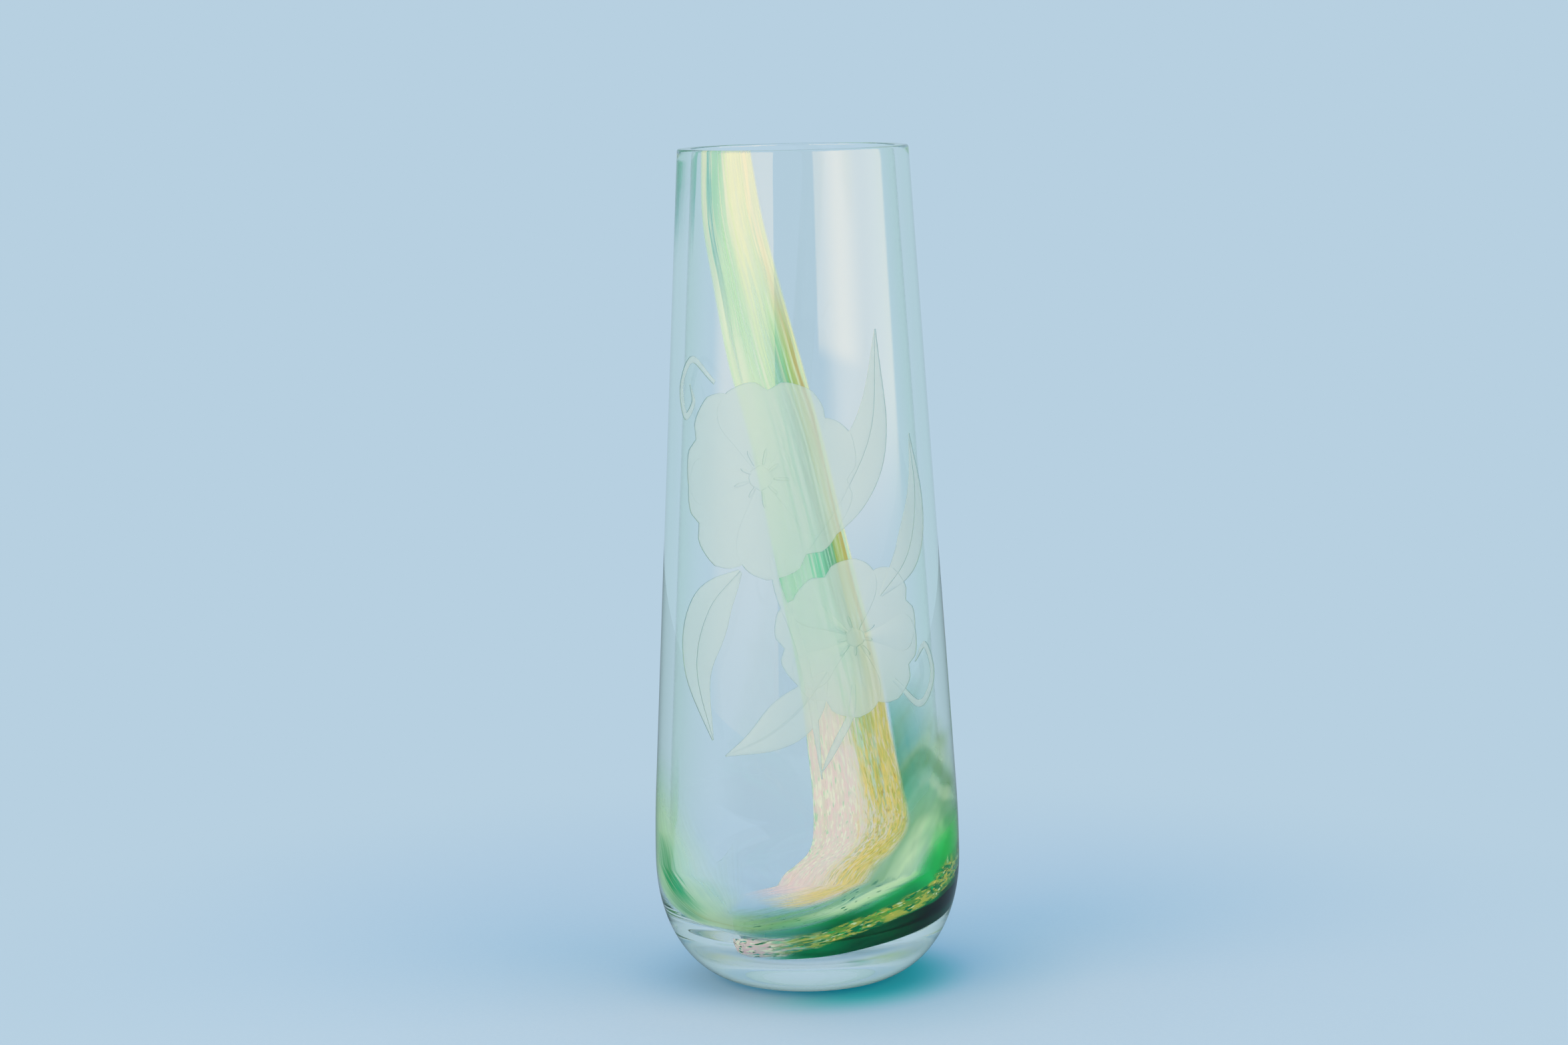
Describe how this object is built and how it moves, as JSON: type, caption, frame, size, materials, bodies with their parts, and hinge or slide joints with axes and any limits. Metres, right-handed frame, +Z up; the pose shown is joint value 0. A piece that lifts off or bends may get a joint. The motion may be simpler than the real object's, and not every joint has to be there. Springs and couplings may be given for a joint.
{
  "type": "glass vase",
  "caption": "Tall tapered hand-blown clear glass vase with a heavy rounded base, an open mouth and streaks of colour glass cased in its wall.",
  "frame": {"origin": "middle of the flat ground foot, on the surface that the vase stands on", "axes": "+Z up along the vase's axis to its mouth, -Y towards the viewer of the picture, +X to the viewer's right"},
  "size_m": [0.088, 0.088, 0.24],
  "materials": {
    "clear_glass": "polished, clear with a faint blue-green tint",
    "green_glass": "polished, streaky sea green",
    "cream_glass": "polished, opal cream with fine streaks",
    "gold_glass": "polished, streaky golden yellow",
    "dark_green_glass": "polished, green so deep that it reads black",
    "speckled_glass": "polished, speckled gold, ochre, pink and green",
    "emerald_glass": "polished, bright transparent emerald",
    "lime_glass": "polished, pale transparent lime",
    "teal_glass": "polished, transparent teal"
  },
  "bodies": {
    "root": {"clear_casing": "clear_glass", "inner_lining": "clear_glass", "ribbon_green_band": "green_glass", "ribbon_cream_band": "cream_glass", "ribbon_gold_band": "gold_glass", "dark_green_band": "dark_green_glass", "frit_trail": "speckled_glass", "emerald_veil": "emerald_glass", "lime_veil": "lime_glass", "teal_veil": "teal_glass", "left_green_veil": "green_glass"}
  },
  "joints": []
}
